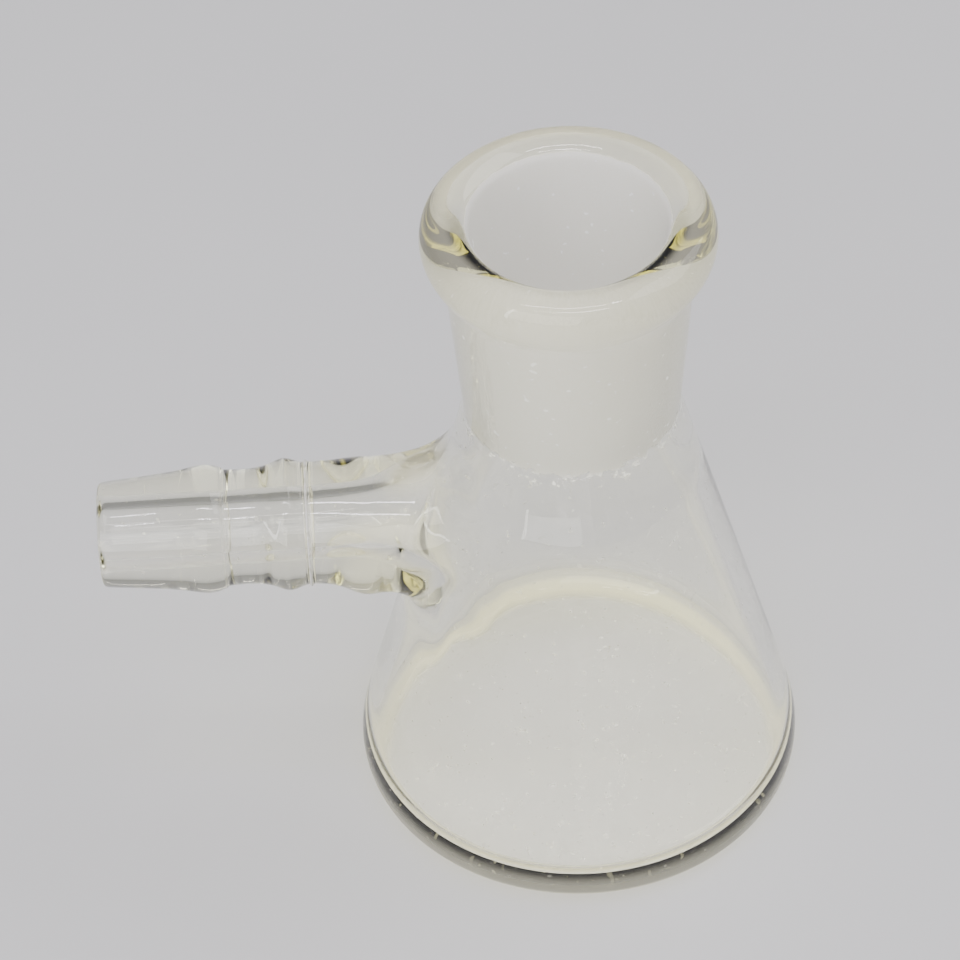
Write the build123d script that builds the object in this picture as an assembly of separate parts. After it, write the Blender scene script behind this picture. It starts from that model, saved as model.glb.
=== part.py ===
from build123d import *
import math
import os

os.makedirs("parts", exist_ok=True)

# Small side-arm filtering flask in clear glass. All sizes are in mm.
# The origin is on the vessel's axis, in the plane that it stands on. +Z is up and the arm points to -X.

# Driving dimensions of the blown vessel
HEIGHT = 57.5               # from the standing plane to the crest of the bead rim
BASE_R = 17.7               # widest radius, just above the heel
HEEL_R = 2.7                # rounding between the base and the cone
STANDING_INNER_R = 13.0     # the flat ring that the flask stands on starts here
PUSH_UP = 0.9               # how far the middle of the base is pushed up
DOME_MIDWAY = 0.75          # share of that rise left half way out to the standing ring
CONE_TOP_R = 8.25           # outer radius where the straight cone would meet the neck
CONE_TOP_Z = 38.6
SHOULDER_R = 2.5            # concave rounding between the cone and the neck
BODY_WALL = 1.35
THICKENING_Z = 32.5         # the wall thickens from here up to the joint with the socket
THICKENING_R = 9.0

# Driving dimensions of the ground socket: a standard taper, 1 in 10 on the diameter
MOUTH_R = 7.25              # large end of the ground taper
MOUTH_Z = 56.7
GROUND_LENGTH = 19.0        # the grinding ends where the joint blank meets the blown cone
TAPER = 0.05                # change of radius over length
NECK_TOP_R = 9.25           # outer radius just under the bead
NECK_TOP_Z = 52.3
BEAD_R = 10.85              # widest radius of the bead rim
BEAD_Z = 55.2               # height of that widest circle
BEAD_UNDERSIDE = (0.5, 1.5) # a point of the underside: how far in from, and below, the widest circle
CREST_R = 9.15              # radius of the bead's highest circle

# Driving dimensions of the side arm, with distances from the vessel's axis
ARM_Z = 27.1
ARM_BORE_R = 2.0
STUB_R = 4.75
WELD_X = 20.6               # butt weld between the stub and the hose connection
TIP_X = 36.7
TIP_ROUND = 0.45
SEAL_RINGS = (              # distance from the axis, rise of the ring's centre over the arm, radius
    (19.2, 0.0, 4.78),
    (16.5, -0.4, 5.3),
    (14.2, -0.3, 5.45),
    (11.4, 0.3, 5.9),
    (8.5, 0.9, 6.8),
)
HOSE_OUTLINE = (            # distance from the axis, radius: weld, two barbs, tapered tip
    (WELD_X, STUB_R),
    (21.1, 4.82),
    (22.2, 5.16),
    (23.7, 4.76),
    (25.4, 4.46),
    (27.1, 4.6),
    (28.5, 4.98),
    (31.1, 4.55),
    (34.2, 4.28),
    (TIP_X - TIP_ROUND, 4.1),
)

JOINT_Z = MOUTH_Z - GROUND_LENGTH
JOINT_BORE_R = MOUTH_R - GROUND_LENGTH * TAPER


def at(r, z):
    """A point of a section, at radius r and height z."""
    return Vector(r, 0, z)


def cone_slope():
    """Loss of the cone's outer radius per mm of height, for a cone tangent to the heel's rounding."""
    slope = (BASE_R - CONE_TOP_R) / CONE_TOP_Z
    for _ in range(20):
        lean = math.atan(slope)
        tangent_r = BASE_R - HEEL_R * (1 - math.cos(lean))
        tangent_z = HEEL_R * (1 + math.sin(lean))
        slope = (tangent_r - CONE_TOP_R) / (CONE_TOP_Z - tangent_z)
    return slope


def vessel_solid(corners, heel_r, shoulder_r, base_rise, standing_r):
    """A solid of revolution: domed base, round heel, straight cone, round shoulder, the neck's corners.

    corners starts with the heel's sharp corner and the shoulder's sharp corner.
    """
    heel, shoulder = corners[0], corners[1]
    floor_z = heel.Z
    dome = ThreePointArc(at(0, floor_z + base_rise), at(standing_r / 2, floor_z + base_rise * DOME_MIDWAY),
                         at(standing_r, floor_z))
    outline = Polyline(at(standing_r, floor_z), *corners, at(0, corners[-1].Z), at(0, floor_z + base_rise))
    face = make_face([*dome.edges(), *outline.edges()])
    for corner, radius in ((heel, heel_r), (shoulder, shoulder_r)):
        nearest = face.vertices().sort_by_distance(corner)[0]
        face = fillet(nearest, radius)
    return revolve(face, Axis.Z, 360)


def vessel_outside():
    """The outer skin as a filled solid, up to the underside of the bead, without the bead."""
    slope = cone_slope()
    heel = at(CONE_TOP_R + slope * CONE_TOP_Z, 0)
    neck_top = at(NECK_TOP_R, NECK_TOP_Z)
    return vessel_solid([heel, at(CONE_TOP_R, CONE_TOP_Z), neck_top], HEEL_R, SHOULDER_R, PUSH_UP,
                        STANDING_INNER_R)


def vessel_inside():
    """The hollow as a filled solid: the thin-walled cone, the shoulder and the ground taper."""
    slope = cone_slope()
    sideways = BODY_WALL * math.hypot(1, slope)
    floor_z = BODY_WALL
    parallel_r = CONE_TOP_R + slope * CONE_TOP_Z - sideways
    heel = at(parallel_r - slope * floor_z, floor_z)
    thickening = at(parallel_r - slope * THICKENING_Z, THICKENING_Z)
    return vessel_solid([heel, thickening, at(JOINT_BORE_R, JOINT_Z)], HEEL_R - BODY_WALL, THICKENING_R,
                        PUSH_UP, STANDING_INNER_R)


def along_arm(outline):
    """A solid turned about the arm's axis from (distance, radius) pairs, filled to the axis."""
    points = [Vector(-x, 0, ARM_Z + r) for x, r in outline]
    first, last = outline[0][0], outline[-1][0]
    ring = Polyline(Vector(-first, 0, ARM_Z), *points, Vector(-last, 0, ARM_Z), close=True)
    return revolve(make_face(ring), Axis((0, 0, ARM_Z), (1, 0, 0)), 360)


def arm_rod(radius):
    """A plain rod along the arm, from the vessel's axis to the tip."""
    return along_arm([(0, radius), (TIP_X, radius)])


def bead():
    """The rim's ring: it swells from the neck, rolls over the crest and funnels down to the mouth."""
    inward, down = BEAD_UNDERSIDE
    under = Spline(at(NECK_TOP_R, NECK_TOP_Z), at(BEAD_R - inward, BEAD_Z - down), at(BEAD_R, BEAD_Z),
                   tangents=[(inward, 0, down), (0, 0, 1)])
    roll = Spline(at(BEAD_R, BEAD_Z), at(CREST_R, HEIGHT), tangents=[(0, 0, 1), (-1, 0, 0)])
    lead_in = Spline(at(CREST_R, HEIGHT), at(MOUTH_R, MOUTH_Z), tangents=[(-1, 0, 0), (-1, 0, -1)])
    bore = Polyline(at(MOUTH_R, MOUTH_Z), at(MOUTH_R - (MOUTH_Z - NECK_TOP_Z) * TAPER, NECK_TOP_Z),
                    at(NECK_TOP_R, NECK_TOP_Z))
    face = make_face([*under.edges(), *roll.edges(), *lead_in.edges(), *bore.edges()])
    return revolve(face, Axis.Z, 360)


def ground_taper():
    """The hollow of the neck between the joint with the cone and the underside of the bead."""
    top_r = MOUTH_R - (MOUTH_Z - NECK_TOP_Z) * TAPER
    face = make_face(Polyline(at(0, JOINT_Z), at(JOINT_BORE_R, JOINT_Z), at(top_r, NECK_TOP_Z),
                              at(0, NECK_TOP_Z), close=True))
    return revolve(face, Axis.Z, 360)


def slab(low_z, high_z):
    """A wide block between two heights, for cutting the vessel at the joint."""
    width = 4 * BASE_R
    return Pos(0, 0, (low_z + high_z) / 2) * Box(width, width, high_z - low_z)


def make_flask_body(outside, hollow):
    """The blown cone, with the hole that the arm's bore opens through."""
    return (outside & slab(0, JOINT_Z)) - hollow - arm_rod(ARM_BORE_R)


def make_ground_socket(outside):
    """The joint blank: tapered neck, ground bore and bead rim."""
    neck = (outside & slab(JOINT_Z, NECK_TOP_Z)) - ground_taper()
    return neck + bead()


def make_side_arm_stub(outside):
    """The plain tube from the cone's wall to the butt weld."""
    return along_arm([(0, STUB_R), (WELD_X, STUB_R)]) - arm_rod(ARM_BORE_R) - outside


def make_side_arm_seal(outside):
    """The melted collar between stub and cone: it hangs low on the stub and climbs the cone on top."""
    rings = [Plane((-x, 0, ARM_Z + rise), x_dir=(0, 1, 0), z_dir=(-1, 0, 0)) * Circle(r)
             for x, rise, r in SEAL_RINGS]
    collar = loft([ring.face() for ring in rings])
    return collar - arm_rod(STUB_R) - outside


def make_hose_connection():
    """The moulded nozzle: two smooth barbs and a tapered, fire-rounded tip."""
    points = [Vector(-x, 0, ARM_Z + r) for x, r in HOSE_OUTLINE]
    skin = Spline(*points)
    tip_end = Vector(-TIP_X, 0, points[-1].Z - TIP_ROUND)
    diagonal = TIP_ROUND * math.sqrt(0.5)
    tip = ThreePointArc(points[-1], Vector(points[-1].X - diagonal, 0, tip_end.Z + diagonal), tip_end)
    bore_z = ARM_Z + ARM_BORE_R
    back = Polyline(tip_end, Vector(-TIP_X, 0, bore_z), Vector(-WELD_X, 0, bore_z), points[0])
    face = make_face([*skin.edges(), *tip.edges(), *back.edges()])
    return revolve(face, Axis((0, 0, ARM_Z), (1, 0, 0)), 360)


def main():
    outside = vessel_outside()
    nodes = {
        "flask_body": make_flask_body(outside, vessel_inside()),
        "ground_socket": make_ground_socket(outside),
        "side_arm_stub": make_side_arm_stub(outside),
        "side_arm_seal": make_side_arm_seal(outside),
        "hose_connection": make_hose_connection(),
    }
    for name, shape in nodes.items():
        export_step(shape, f"parts/{name}.step")


main()
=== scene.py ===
# %% [markdown]
# # A small side-arm flask in clear glass
# A lampworker makes this flask from a blown cone, a thick ground-glass socket and a barbed hose end, and
# melts them into one piece of glass. Light then runs through the whole wall without meeting a joint inside it.
# The CAD model keeps the five blanks apart. Here they become one closed skin, because a hidden face between
# two blanks would bend and reflect light that the real flask lets straight through.

# %% The frame, and the helpers' names
import math
import bpy
from mathutils import Matrix, Vector


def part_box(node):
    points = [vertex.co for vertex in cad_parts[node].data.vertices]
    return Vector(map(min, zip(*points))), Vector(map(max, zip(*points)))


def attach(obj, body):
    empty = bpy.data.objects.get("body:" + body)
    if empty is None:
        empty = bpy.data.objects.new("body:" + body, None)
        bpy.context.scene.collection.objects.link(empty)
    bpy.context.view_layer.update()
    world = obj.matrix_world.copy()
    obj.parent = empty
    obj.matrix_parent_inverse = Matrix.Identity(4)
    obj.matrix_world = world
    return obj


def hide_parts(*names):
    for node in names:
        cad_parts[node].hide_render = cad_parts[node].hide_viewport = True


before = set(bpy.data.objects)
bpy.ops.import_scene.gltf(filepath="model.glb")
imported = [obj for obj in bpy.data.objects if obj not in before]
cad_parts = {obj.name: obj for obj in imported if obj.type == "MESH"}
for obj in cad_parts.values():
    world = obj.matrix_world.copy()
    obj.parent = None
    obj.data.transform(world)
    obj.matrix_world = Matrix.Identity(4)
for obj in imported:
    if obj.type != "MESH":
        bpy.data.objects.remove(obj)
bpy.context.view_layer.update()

mm = 0.001
body_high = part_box("flask_body")[1]
socket_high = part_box("ground_socket")[1]
hose_low, hose_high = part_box("hose_connection")

# %% [markdown]
# ## Measurements
# Everything on the flask is round about one of two axes: the vessel's upright axis and the side arm's level
# one. The frame gives its greatest widths and heights. The foot of the neck, the cone's slope, the wall and
# the bore of the arm are read off the glass. Each outline below is a list of pairs in millimetres, like the
# profile card that a glassblower holds against the work.

# %% Measurements in millimetres
crest_z = socket_high[2] / mm
base_r = body_high[0] / mm
bead_r = socket_high[0] / mm
tip_x = -hose_low[0] / mm
weld_x = -hose_high[0] / mm
arm_z = (hose_low[2] + hose_high[2]) / 2 / mm
neck_foot_r, neck_foot_z = 8.25, 38.6
slope = 0.2658
wall = 1.4
bore_r = 2.0
sizes = {"crest": crest_z, "base radius": base_r, "arm height": arm_z, "arm tip": tip_x}
print({name: round(size, 2) for name, size in sizes.items()})

# %% [markdown]
# ## Skins that are pulled ring by ring
# Blown glass has no flat places and no edges, so its mesh is a loose cage of rings that a Subdivision Surface
# rounds off. A primitive circle is the first ring. Extrude, move and scale make each next one, which is how the
# shape is drawn out by hand. Subdivision pulls a ring inwards a little, so each ring is drawn that much wider.

# %% Ring helpers
def only(*pieces):
    """Object mode, with just these pieces selected and the first of them active."""
    if bpy.context.object and bpy.context.object.mode != "OBJECT":
        bpy.ops.object.mode_set(mode="OBJECT")
    bpy.ops.object.select_all(action="DESELECT")
    for piece in pieces:
        piece.select_set(True)
    bpy.context.view_layer.objects.active = pieces[0]


def clear_selection(piece, kind):
    """Object mode, with this piece active and none of its corners, edges or faces selected."""
    only(piece)
    bpy.ops.object.mode_set(mode="EDIT")
    bpy.ops.mesh.select_mode(type=kind)
    bpy.ops.mesh.select_all(action="DESELECT")
    bpy.ops.object.mode_set(mode="OBJECT")


def rim_keys(faces):
    """The edges that only one of these faces uses."""
    used = {}
    for face in faces:
        for key in face.edge_keys:
            used[key] = used.get(key, 0) + 1
    return {key for key, times in used.items() if times == 1}


def widened(radius, corners):
    """The cage radius whose subdivided ring has this radius."""
    return radius * mm / (2 / 3 + math.cos(2 * math.pi / corners) / 3)


def pull_rings(name, outline, corners, centre, direction):
    """A tube of rings about a line. The outline holds (distance along it, radius) pairs in mm."""
    start, radius = outline[0]
    bpy.ops.object.select_all(action="DESELECT")
    turn = Vector((0, 0, 1)).rotation_difference(direction).to_euler()
    bpy.ops.mesh.primitive_circle_add(vertices=corners, radius=widened(radius, corners),
                                      location=centre + direction * start * mm, rotation=turn)
    piece = bpy.context.object
    piece.name = piece.data.name = name
    bpy.ops.object.transform_apply(location=True, rotation=True, scale=True)
    bpy.ops.object.mode_set(mode="EDIT")
    across = [1 - abs(part) for part in direction]
    for (before, old), (along, new) in zip(outline, outline[1:]):
        step = direction * (along - before) * mm
        bpy.ops.mesh.extrude_region_move(TRANSFORM_OT_translate={"value": step})
        ratio = [new / old if part > 0.5 else 1 for part in across]
        bpy.ops.transform.resize(value=ratio, center_override=centre + direction * along * mm)
    bpy.ops.object.mode_set(mode="OBJECT")
    print(name, "has", len(outline), "rings of", corners)
    return piece


# %% [markdown]
# ## The vessel's two skins
# One outline of (radius, height) pairs runs from the middle of the base, out round the heel and up the cone,
# over the bead rim and down the ground bore, and back along the inside to the middle of the floor. The wall is
# the space between the two runs, so it can be thin in the blown cone, thick in the moulded neck and heavy in
# the bead, which Solidify can't do. Evenly spaced rows stand where the side arm will join, so that a neat
# square of faces can be taken out there.

# %% Outline of the vessel
def cone_r(z):
    """Outer radius of the cone."""
    return neck_foot_r + slope * (neck_foot_z - z)


def rows(low, high, count):
    """Evenly spaced heights from low to high."""
    return [low + (high - low) * i / count for i in range(count + 1)]


patch_rows = 8
outer_reach, inner_reach = 6.4, 4.8
patch_outside = rows(arm_z - outer_reach, arm_z + outer_reach, patch_rows)
patch_inside = rows(arm_z + inner_reach, arm_z - inner_reach, patch_rows)
outside = [
    (1.4, 0.9), (4.5, 0.82), (8.5, 0.52), (11.6, 0.14), (13.4, 0.0), (15.3, 0.0), (16.75, 0.28), (17.6, 1.25),
    (base_r + 0.08, 2.6), (cone_r(4.2), 4.2),
]
outside += [(cone_r(z), z) for z in (7, 11, 15, 18.4)]
outside += [(cone_r(z), z) for z in patch_outside]
outside += [(cone_r(z), z) for z in (34.9, 36.2, 37.2, 38.0)]
neck = [(8.2, 38.7), (8.27, 39.6), (8.4, 41.4), (8.78, 46.3), (9.17, 51.2), (9.3, 52.4)]
bead = [
    (9.75, 53.05), (10.45, 53.85), (10.82, 54.75), (bead_r + 0.08, 55.6), (10.72, 56.5), (10.2, 57.2),
    (9.4, crest_z + 0.08), (8.5, crest_z - 0.02), (7.75, 57.15), (7.32, 56.7),
]
ground = [(7.2, 56.2), (7.1, 54.6), (6.8, 48.6), (6.5, 42.6), (6.35, 39.6), (6.28, 38.4), (6.34, 37.5)]
thick = [(6.7, 36.4), (7.15, 35.1), (7.7, 33.7), (cone_r(32.7) - wall - 0.2, 32.7)]
inside = [(cone_r(z) - wall, z) for z in patch_inside]
inside += [(cone_r(z) - wall, z) for z in (20.2, 16, 11, 7.4, 5.2)]
inside += [
    (16.2, 3.9), (16.12, 2.95), (15.6, 2.15), (14.65, 1.62), (13.3, 1.4), (11.3, 1.5), (9, 1.72), (6.3, 1.98),
    (3.6, 2.18), (1.4, 2.25),
]
vessel_outline = [(z, r) for r, z in outside + neck + bead + ground + thick + inside]

# %% Pull the vessel and close its two middles
vessel_corners = 48
up = Vector((0, 0, 1))
flask = pull_rings("flask_glass", vessel_outline, vessel_corners, Vector((0, 0, 0)), up)
middle_reach = 2.0
for height in (vessel_outline[0][0], vessel_outline[-1][0]):
    clear_selection(flask, "EDGE")
    for edge in flask.data.edges:
        ends = [flask.data.vertices[i].co for i in edge.vertices]
        edge.select = all(abs(end.z - height * mm) < 1e-5 and end.xy.length < middle_reach * mm for end in ends)
    bpy.ops.object.mode_set(mode="EDIT")
    bpy.ops.mesh.fill_grid(span=vessel_corners // 4)
    bpy.ops.object.mode_set(mode="OBJECT")
print("vessel", len(flask.data.polygons), "faces")

# %% [markdown]
# ## The side arm's two skins
# The arm is a second outline, of (distance from the vessel's axis, radius) pairs: from the swollen root, along
# the stub, over the ridge of the butt weld and two smooth barbs to the fire-rounded tip, and back down the
# bore. It starts and ends open, where it will be melted to the cone.

# %% Outline of the side arm
arm_corners = 36
root = [
    (12.9, 5.75), (14.1, 5.45), (15.0, 5.38), (15.8, 5.4), (16.6, 5.36), (17.4, 5.2), (18.2, 4.98), (19.1, 4.8),
    (20.1, 4.75),
]
weld_ridge = [(weld_x - 0.1, 4.74), (weld_x - 0.03, 4.95), (weld_x + 0.07, 4.95), (weld_x + 0.14, 4.74)]
barbs = [
    (21.0, 4.78), (21.5, 4.96), (22.0, 5.14), (22.5, 5.14), (23.0, 4.95), (23.7, 4.66), (24.6, 4.48),
    (25.8, 4.44), (26.8, 4.5), (27.05, 4.54), (27.14, 4.66), (27.28, 4.74), (27.8, 4.9), (28.4, 5.0),
    (29.1, 4.95), (29.9, 4.77), (31.0, 4.58), (32.6, 4.42), (34.4, 4.26), (35.8, 4.14),
]
arm_skin = root + weld_ridge + barbs
arm_tip = [
    (36.4, 4.08), (tip_x - 0.08, 3.98), (tip_x + 0.02, 3.74), (tip_x, 3.1), (tip_x - 0.06, 2.5),
    (tip_x - 0.25, 2.18), (36.1, 2.02), (35.4, bore_r),
]
arm_bore = [
    (33, bore_r), (30, bore_r), (27.2, 1.96), (24, bore_r), (21.4, bore_r), (weld_x, 1.9), (19.8, bore_r),
    (17.8, bore_r), (16.4, 2.12), (15.0, 2.4), (13.7, 2.85), (12.6, 3.4),
]
arm_axis = Vector((0, 0, arm_z * mm))
outward = Vector((-1, 0, 0))
arm = pull_rings("arm_glass", arm_skin + arm_tip + arm_bore, arm_corners, arm_axis, outward)

# %% [markdown]
# ## The soft root sags
# The root was the last place to be heated, and it sagged a little under the arm's own weight before it set.
# Each ring near the cone drops and leans, most of all the first few, so the lump hangs on the underside.

# %% Drop and lean the root's rings, in mm and degrees
root_rings = [(0.25, 22), (0.48, 14), (0.6, 8), (0.66, 5), (0.6, 3), (0.42, 1.5), (0.22, 0), (0.06, 0)]
for ring, (drop, lean) in enumerate(root_rings):
    clear_selection(arm, "VERT")
    for corner in arm.data.vertices[ring * arm_corners:(ring + 1) * arm_corners]:
        corner.select = True
    middle = arm_axis + outward * arm_skin[ring][0] * mm
    bpy.ops.object.mode_set(mode="EDIT")
    bpy.ops.transform.rotate(value=-math.radians(lean), orient_axis="Y", center_override=middle)
    bpy.ops.transform.translate(value=(0, 0, -drop * mm))
    bpy.ops.object.mode_set(mode="OBJECT")
top = max(arm.data.vertices[:arm_corners], key=lambda corner: corner.co.z).co
print("highest corner of the root in mm", [round(value / mm, 2) for value in top])

# %% [markdown]
# ## Opening the cone
# The real hole is blown out of the soft cone, so its lip is round and its edge is drawn towards the arm. A
# square of faces comes out of each skin, and the corners of what is left are moved onto a circle round the
# arm's axis, without leaving the cone.

# %% Cut a round hole in each skin
patch_half_angle = 5 * 2 * math.pi / vessel_corners
skin_depth = 0.7


def open_hole(piece, hole_r, low, high, skin_r):
    """Take out the patch between two heights on the arm's side, and round what is left to hole_r."""
    clear_selection(piece, "FACE")

    def in_patch(spot):
        near_skin = abs(spot.xy.length / mm - skin_r(spot.z / mm)) < skin_depth
        facing = abs(math.atan2(spot.y, -spot.x)) < patch_half_angle
        return near_skin and facing and low < spot.z / mm < high

    def turn_of(i):
        corner = piece.data.vertices[i].co
        return math.atan2(corner.y, corner.z - arm_z * mm)

    for face in piece.data.polygons:
        face.select = in_patch(face.center)
    taken = [face for face in piece.data.polygons if face.select]
    print("taking", len(taken), "faces out")
    rim = sorted({i for key in rim_keys(taken) for i in key})
    ordered = sorted(rim, key=turn_of)
    for step, i in enumerate(ordered):
        turn = -math.pi + 2 * math.pi * (step + 1) / len(ordered)
        y, z = hole_r * math.sin(turn), arm_z + hole_r * math.cos(turn)
        x = -math.sqrt((skin_r(z) * 1.003) ** 2 - y ** 2)
        piece.data.vertices[i].co = Vector((x, y, z)) * mm
    bpy.ops.object.mode_set(mode="EDIT")
    bpy.ops.mesh.delete(type="FACE")
    bpy.ops.object.mode_set(mode="OBJECT")
    print("hole with", len(ordered), "corners round it")


def inner_r(z):
    """Inner radius of the cone."""
    return cone_r(z) - wall


outer_hole_r, inner_hole_r = 6.7, 4.7
open_hole(flask, outer_hole_r, patch_outside[0], patch_outside[-1], cone_r)
open_hole(flask, inner_hole_r, patch_inside[-1], patch_inside[0], inner_r)

# %% [markdown]
# ## Melting the arm on
# A bridge between two open rims does what the flame does: it closes the gap with a smooth flare. The outer rims
# make the swollen collar, and the inner rims make the funnel that the bore opens through.

# %% Bridge the arm to the cone
only(flask, arm)
bpy.ops.object.join()


def melt(piece, near, far, cuts):
    """Bridge the open rims whose distance from the arm's axis is between near and far, in mm."""
    clear_selection(piece, "EDGE")
    open_keys = rim_keys(piece.data.polygons)
    for edge in piece.data.edges:
        middle = sum((piece.data.vertices[i].co for i in edge.vertices), Vector()) / 2
        away = math.hypot(middle.y, middle.z - arm_z * mm) / mm
        edge.select = edge.key in open_keys and near < away < far
    chosen = sum(edge.select for edge in piece.data.edges)
    bpy.ops.object.mode_set(mode="EDIT")
    bpy.ops.mesh.bridge_edge_loops(number_cuts=cuts, interpolation="LINEAR")
    bpy.ops.object.mode_set(mode="OBJECT")
    print("bridged", chosen, "rim edges")


parting = 5
melt(flask, parting, 9, 2)
melt(flask, 1, parting, 2)

# %% Let the flame smooth the junction
collar_span, funnel_span = (5.9, 8.7), (3.5, 5.1)
clear_selection(flask, "VERT")
for corner in flask.data.vertices:
    away = math.hypot(corner.co.y, corner.co.z - arm_z * mm) / mm
    near_wall = -15.6 < corner.co.x / mm < -7
    corner.select = near_wall and any(low < away < high for low, high in (collar_span, funnel_span))
soft = sum(corner.select for corner in flask.data.vertices)
bpy.ops.object.mode_set(mode="EDIT")
bpy.ops.mesh.vertices_smooth(factor=0.5, repeat=2)
bpy.ops.object.mode_set(mode="OBJECT")
print("softened", soft, "corners")

# %% Round the cage off
only(flask)
bpy.ops.object.mode_set(mode="EDIT")
bpy.ops.mesh.select_all(action="SELECT")
bpy.ops.mesh.normals_make_consistent(inside=False)
bpy.ops.object.mode_set(mode="OBJECT")
bpy.ops.object.modifier_add(type="SUBSURF")
flask.modifiers["Subdivision"].levels = flask.modifiers["Subdivision"].render_levels = 2
bpy.ops.object.modifier_apply(modifier="Subdivision")
bpy.ops.object.shade_smooth()
open_edges = len(flask.data.edges) * 2 - sum(len(face.vertices) for face in flask.data.polygons)
print("flask_glass", len(flask.data.polygons), "faces, open edges", open_edges)

# %% [markdown]
# ## Shader maths as plain expressions
# A finish is worked out with sums, products and steps of the object's own coordinates. Wrapping a socket in a
# small class lets those be written as Python expressions, and each operator adds its Math node.

# %% Sockets with operators
class Value:
    """A socket that can be added to, taken from and multiplied, each time with a new Math node."""

    def __init__(self, tree, socket):
        self.tree, self.socket = tree, socket

    def node(self, kind, settings=None, out=0, **inputs):
        """Any node: its type, its settings, and values or links for its sockets, as names or _numbers."""
        made = self.tree.nodes.new(kind)
        for key, setting in (settings or {}).items():
            setattr(made, key, setting)
        for key, given in inputs.items():
            socket = made.inputs[int(key[1:])] if key[0] == "_" else made.inputs[key.replace("_", " ")]
            if isinstance(given, Value):
                self.tree.links.new(given.socket, socket)
            else:
                socket.default_value = given
        return Value(self.tree, made.outputs[out])

    def math(self, operation, other=0.0):
        return self.node("ShaderNodeMath", {"operation": operation}, _0=self, _1=other)

    def __add__(self, other):
        return self.math("ADD", other)

    def __sub__(self, other):
        return self.math("SUBTRACT", other)

    def __mul__(self, other):
        return self.math("MULTIPLY", other)

    def __rsub__(self, other):
        return self.node("ShaderNodeMath", {"operation": "SUBTRACT"}, _0=other, _1=self)

    __radd__, __rmul__ = __add__, __mul__

    def clipped(self):
        return self.math("MINIMUM", 1.0).math("MAXIMUM", 0.0)

    def step(self, low, high):
        """A smooth climb from 0 at low to 1 at high."""
        settings = {"interpolation_type": "SMOOTHSTEP"}
        return self.node("ShaderNodeMapRange", settings, _0=self, _1=low, _2=high)

    def noise(self, scale, detail=2.0, roughness=0.5):
        """Noise from 0 to 1 on this vector. scale is in features per metre."""
        return self.node("ShaderNodeTexNoise", Vector=self, Scale=scale, Detail=detail, Roughness=roughness)

    def axis(self, name):
        return self.node("ShaderNodeSeparateXYZ", out="XYZ".index(name), _0=self)


def new_material(name):
    """An empty material, the place on the object that it reads, and its output node."""
    material = bpy.data.materials.new(name)
    material.use_nodes = True
    tree = material.node_tree
    tree.nodes.clear()
    output = tree.nodes.new("ShaderNodeOutputMaterial")
    place = Value(tree, tree.nodes.new("ShaderNodeTexCoord").outputs["Object"])
    return material, place, output


def stretched(place, x, y, z):
    """The place with each direction scaled, for patterns that are longer one way."""
    return place.node("ShaderNodeMapping", Vector=place, Scale=(x, y, z))


# %% [markdown]
# ## Clear and ground glass
# The flask is one glass with two surfaces. Where the flame has touched it, it is smooth and clear. In the
# socket, a carborundum cone has ground it to a fine frost, which ends below in a ragged line where the grit
# chipped it. Both are the same material, because a ray has to leave by the glass that it came in by. Masks of
# height, radius and distance along the arm say where each finish is.

# %% Places on the glass, in millimetres
class Spot:
    """Where a point of the glass is, and the two patterns that its finishes share."""

    def __init__(self, place):
        self.place = place
        self.height = place.axis("Z") * 1000
        self.across, self.along = place.axis("Y") * 1000, place.axis("X") * 1000
        self.radius = (self.across * self.across + self.along * self.along).math("SQRT")
        self.chips = place.noise(1100, 4, 0.7)
        self.grain = place.noise(5200, 3, 0.7)

    def nearness(self, x, y, z, full, none):
        """1 within full mm of a point, falling to 0 at none mm from it."""
        aside, ahead, over = self.along - x, self.across - y, self.height - z
        return 1 - (aside * aside + ahead * ahead + over * over).math("SQRT").step(full, none)

    def arm_ring(self, x, full, none):
        """A ring round the arm, x mm from the vessel's axis: 1 within full mm of it and 0 beyond none mm."""
        return 1 - (self.along + x).math("ABSOLUTE").step(full, none)


# %% Where the socket is ground
frost_low, frost_high = 38.0, 57.0
bore_foot_r, bore_foot_z, bore_taper = 6.7, 37.7, 0.05


def ground_zone(spot):
    """How far the surface is ground, and the loose flakes along the chipped lower edge."""
    coarse = spot.place.noise(240, 3)
    lower_edge = spot.height + (spot.chips - 0.5) * 4.2 + (coarse - 0.5) * 1.8
    upper_edge = spot.height + (spot.chips - 0.5) * 0.3
    beyond_bore = spot.radius - (spot.height - bore_foot_z) * bore_taper
    bore_side = 1 - beyond_bore.step(bore_foot_r, bore_foot_r + 0.3)
    above_edge = lower_edge.step(frost_low - 0.25, frost_low)
    below_lip = 1 - upper_edge.step(frost_high - 0.2, frost_high)
    at_edge = 1 - (lower_edge - (frost_low - 0.4)).math("ABSOLUTE").step(0.2, 0.9)
    return above_edge * below_lip * bore_side, at_edge * spot.chips.step(0.54, 0.6) * bore_side


# %% Where the glass is white
seam_x = 27.12


def white_marks(spot, ground, flakes, heel):
    """Stray grit, and all the white there is: the ground zone, the grit and the two rings on the arm. The weld
    ring is partly a real joint line and partly a painted highlight for the glint of the weld's ridge.
    """
    specks = spot.place.noise(1700, 1).step(0.7, 0.74) * spot.place.noise(420, 1).step(0.4, 0.55)
    below_neck = 1 - spot.height.step(35, 37)
    grit = specks * (ground + 0.3 * below_neck) * (1 - heel) + flakes
    frosted = ground * (0.8 + 0.3 * (spot.grain - 0.5))
    # The white weld ring is partly a real joint line and partly a painted highlight for the ridge's glint.
    weld_line_and_painted_glint = spot.arm_ring(weld_x, 0.04, 0.16) * 0.9 * spot.chips.step(0.3, 0.5)
    seam = spot.arm_ring(seam_x, 0.03, 0.12) * 0.2
    return grit, (frosted + grit + weld_line_and_painted_glint + seam).clipped()
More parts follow.
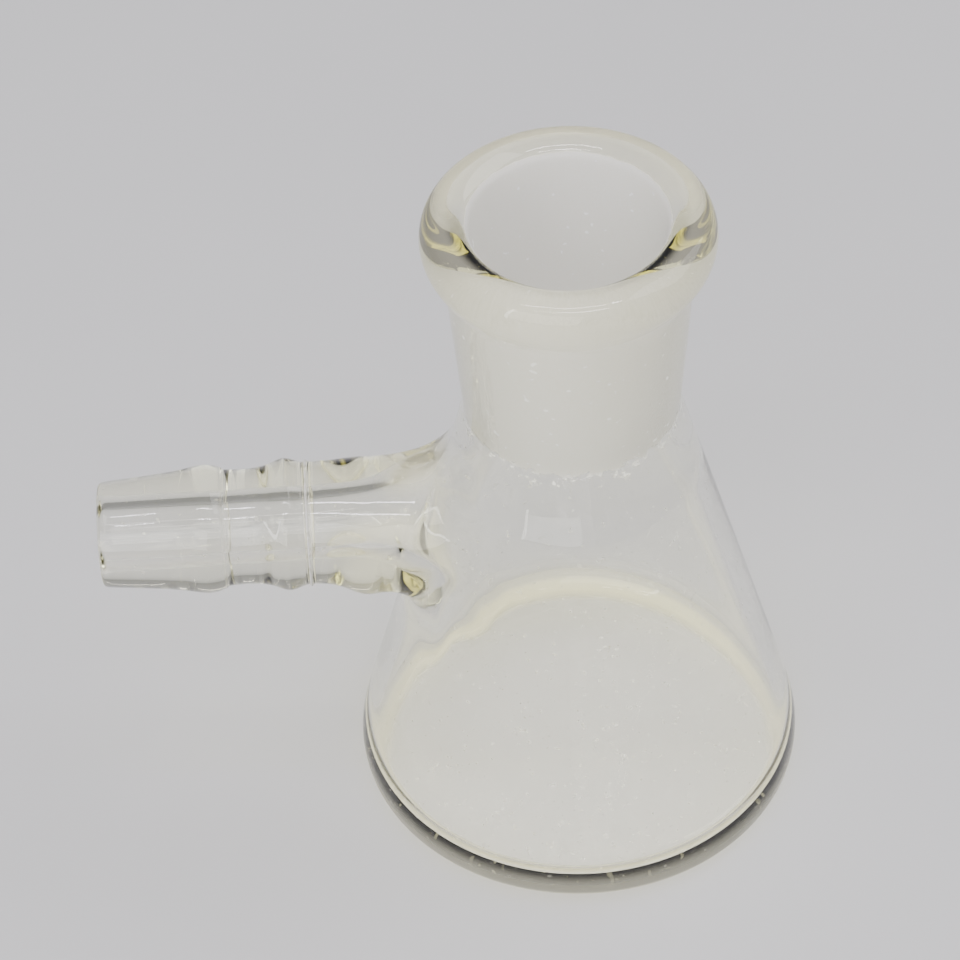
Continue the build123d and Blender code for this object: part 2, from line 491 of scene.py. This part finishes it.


# %% [markdown]
# ## Painted straw light
# The glass is very slightly straw-coloured, which shows only where light runs a long way through it. In the
# bead, the heel and the arm's root, light goes round and round inside before it gets out. A renderer stops
# following it and leaves those places black. So a little straw-coloured haze on the surface is painted light
# that stands in for it: a milky painted glow on the bead and the root, and a painted bright line along the
# heel.

# %% Where straw light is painted on the glass
# The colour of the painted straw light, the light that long paths inside the glass would bring out.
painted_straw_light = (0.88, 0.85, 0.64, 1)


def painted_straw_share(spot, ground, heel):
    """The share of painted straw light on the bead, the top and the underside of the arm's root, and the heel.
    """
    # Each share is painted light: a milky glow on the bead and the root, and a bright band along the heel.
    bead_painted_glow = spot.height.step(52.6, 53.6) * (1 - ground) * spot.radius.step(8.2, 9.2) * 0.24
    under_root_painted_glow = spot.nearness(-14.5, 0, 21.5, 2.5, 5.5) * 0.2
    over_root_painted_glow = spot.nearness(-11.8, 2.0, 30.5, 2.0, 4.5) * 0.3
    heel_painted_light = heel * (0.32 + 0.5 * (1 - spot.height.step(0.8, 1.6)))
    return bead_painted_glow + under_root_painted_glow + over_root_painted_glow + heel_painted_light


# %% [markdown]
# ## Putting the glass together
# A Principled shader with full transmission is the clear glass. A rough pale one is the white powder of ground
# glass and also the painted straw light. Light from a lamp passes straight through clear glass to the table.
# Without that the flask would throw a shadow like a solid thing, because a renderer's shadow rays don't bend.
# The ground zone keeps most of its shadow. Volume Absorption gives the tint.

# %% The glass
def blend(factor, low, high):
    """A colour between two, by a factor from 0 to 1."""
    return factor.node("ShaderNodeMix", {"data_type": "RGBA"}, out=2, _0=factor, _6=low, _7=high)


def make_glass():
    material, place, output = new_material("borosilicate_glass")
    spot = Spot(place)
    ground, flakes = ground_zone(spot)
    heel = (1 - spot.height.step(2.2, 3.8)) * spot.radius.step(15.0, 16.6)
    grit, whitened = white_marks(spot, ground, flakes, heel)
    # This share holds the real ground frost, grit and rings, and the painted straw light.
    powder_and_painted_light_share = (whitened + painted_straw_share(spot, ground, heel)).clipped()

    waves = stretched(place, 1, 1, 0.35).noise(90, 2) * 0.00004
    relief = waves + spot.grain * 0.000012 * ground
    bump = place.node("ShaderNodeBump", Height=relief, Distance=1.0, Strength=1.0)
    glass = place.node("ShaderNodeBsdfPrincipled", Base_Color=(1, 1, 1, 1), Roughness=ground * 0.7, IOR=1.473,
                       Transmission_Weight=1.0, Normal=bump)
    pale = ((spot.grain - 0.3) * 0.8 + grit).clipped()
    white = blend(pale, (0.72, 0.71, 0.71, 1), (0.98, 0.98, 0.99, 1))
    # The rough pale shader is the ground powder, and it also carries the painted straw light.
    powder_and_painted_light = place.node("ShaderNodeBsdfPrincipled", Base_Color=blend(whitened, painted_straw_light, white), Roughness=0.6,
                        Normal=bump)
    surface = place.node("ShaderNodeMixShader", _0=powder_and_painted_light_share, _1=glass, _2=powder_and_painted_light)

    lamp_ray = place.node("ShaderNodeLightPath", out="Is Shadow Ray")
    shade = place.node("ShaderNodeBsdfTransparent", Color=(0.9, 0.9, 0.88, 1))
    lit = place.node("ShaderNodeMixShader", _0=lamp_ray * (1 - ground * 0.8), _1=surface, _2=shade)
    tint = place.node("ShaderNodeVolumeAbsorption", Color=(0.95, 0.93, 0.5, 1), Density=46.0)
    material.node_tree.links.new(lit.socket, output.inputs["Surface"])
    material.node_tree.links.new(tint.socket, output.inputs["Volume"])
    return material


glass = make_glass()
flask.data.materials.clear()
flask.data.materials.append(glass)
print("glass nodes", len(glass.node_tree.nodes))

# %% [markdown]
# ## The table and the light
# Clear glass is drawn only by what it bends, so it needs something light and something dark round it. The
# table is pale and plain. Two large soft lights stand over it, and the room fades from a bright ceiling to a
# dim horizon, which gives every curved edge a darker line against the table. Narrow strips of light draw the
# bright lines along the arm and round the bead.

# %% The table
def make_table():
    bpy.ops.mesh.primitive_plane_add(size=4, location=(0, 0, 0))
    table = bpy.context.object
    table.name = table.data.name = "table"
    material, place, output = new_material("pale_table")
    colour = blend(place.noise(40, 4), (0.57, 0.57, 0.57, 1), (0.60, 0.60, 0.595, 1))
    surface = place.node("ShaderNodeBsdfPrincipled", Base_Color=colour, Roughness=0.7)
    material.node_tree.links.new(surface.socket, output.inputs["Surface"])
    table.data.materials.append(material)
    print("table", table.dimensions.x, "m wide")


only(flask)
bpy.ops.object.select_all(action="DESELECT")
make_table()

# %% The lights
def soft_light(name, place, width, height, power, aim=(0, 0, 0.03)):
    """A rectangular lamp at a place in metres that faces the aim."""
    bpy.ops.object.light_add(type="AREA", location=place)
    lamp = bpy.context.object
    lamp.name = name
    lamp.data.shape = "RECTANGLE"
    lamp.data.size, lamp.data.size_y = width, height
    lamp.data.energy = power
    lamp.rotation_euler = (Vector(aim) - Vector(place)).to_track_quat("-Z", "Y").to_euler()
    return lamp


soft_light("key_softbox", (-0.3, -0.75, 0.42), 0.8, 0.6, 5.5)
soft_light("right_softbox", (0.6, 0.15, 0.75), 0.7, 0.7, 5)
soft_light("side_strip", (-0.45, -0.42, 0.3), 0.03, 0.5, 0.6)
lilac = (0.95, 0.90, 1.0)
soft_light("overhead_strip", (0, -0.055, 0.47), 0.3, 0.014, 0.66).data.color = lilac
soft_light("forward_strip", (0, -0.2, 0.42), 0.3, 0.01, 0.55).data.color = lilac


def make_room():
    """A bright ceiling that fades to a dark horizon."""
    world = bpy.data.worlds.new("studio_room")
    world.use_nodes = True
    tree = world.node_tree
    sight_line = Value(tree, tree.nodes.new("ShaderNodeTexCoord").outputs["Generated"])
    ceiling = sight_line.axis("Z").step(0.25, 0.95)
    colour = blend(ceiling, (0.30, 0.30, 0.31, 1), (0.74, 0.73, 0.78, 1))
    tree.links.new(colour.socket, tree.nodes["Background"].inputs["Color"])
    return world


bpy.context.scene.world = make_room()

# %% [markdown]
# ## The camera
# A long lens looks down at about 45 degrees from a little over 30 cm, with a slight roll, so the mouth of the
# socket, the arm and the base are all in view.

# %% The camera
lens_mm = 150
aim = Vector((-7.2, 0.1, 30.6)) * mm
distance = 307.6 * mm
heading, tilt, roll = math.radians(1.09), math.radians(45.41), math.radians(2.58)
sight = Vector((math.sin(heading) * math.cos(tilt), math.cos(heading) * math.cos(tilt), -math.sin(tilt)))
bpy.ops.object.camera_add()
camera = bpy.context.object
camera.data.lens = lens_mm
camera.data.sensor_width = 36
camera.data.clip_start = 0.01
camera.location = aim - sight * distance
camera.rotation_euler = (sight.to_track_quat("-Z", "Y").to_matrix() @ Matrix.Rotation(-roll, 3, "Z")).to_euler()
bpy.context.scene.camera = camera
print("camera at", [round(value / mm, 1) for value in camera.location])

# %% Ride, replace and finish
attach(flask, "root")
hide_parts("flask_body", "ground_socket", "side_arm_stub", "side_arm_seal", "hose_connection")
bpy.context.view_layer.update()
